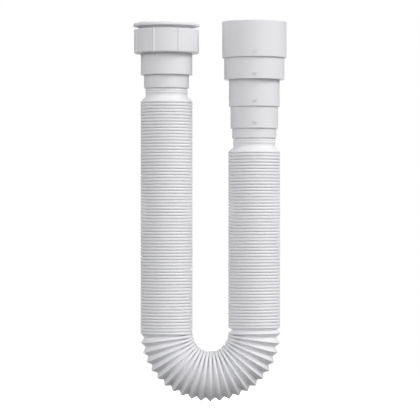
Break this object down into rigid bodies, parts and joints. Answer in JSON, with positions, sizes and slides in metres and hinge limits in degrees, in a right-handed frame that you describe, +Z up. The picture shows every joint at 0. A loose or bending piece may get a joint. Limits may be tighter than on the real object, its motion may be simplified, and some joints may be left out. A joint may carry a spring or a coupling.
{
  "type": "extendable trap",
  "caption": "U-shaped extendable drain trap: a bellows hose with a ribbed coupling nut and reducing bush at the inlet and a stepped pipe socket at the outlet.",
  "frame": {"origin": "on the inlet axis, in the plane of the coupling nut's top face", "axes": "+Z up along the inlet axis, +X towards the outlet arm; the U lies in the XZ plane"},
  "size_m": [0.1334, 0.058, 0.3304],
  "materials": {
    "white_moulding": "injection moulded polypropylene, satin",
    "white_bellows": "blow moulded polypropylene, satin",
    "white_seal": "moulded soft seal, matt"
  },
  "bodies": {
    "inlet": {"inlet_sleeve": "white_moulding", "inlet_seal": "white_seal"},
    "nut": {"coupling_nut": "white_moulding", "reducing_bush": "white_moulding"},
    "hose": {"corrugated_hose": "white_bellows"},
    "outlet": {"outlet_adaptor": "white_moulding"}
  },
  "joints": [
    {"name": "nut_spin", "type": "hinge", "parent": "inlet", "child": "nut", "pos_m": [0, 0, -0.0105], "axis": [0, 0, 1], "continuous": true},
    {"name": "inlet_arm_stretch", "type": "slide", "parent": "inlet", "child": "hose", "axis": [0, 0, -1], "range_m": [0, 0.19], "deforming": ["corrugated_hose"]},
    {"name": "outlet_arm_stretch", "type": "slide", "parent": "hose", "child": "outlet", "axis": [0, 0, 1], "range_m": [0, 0.145], "deforming": ["corrugated_hose"]}
  ]
}
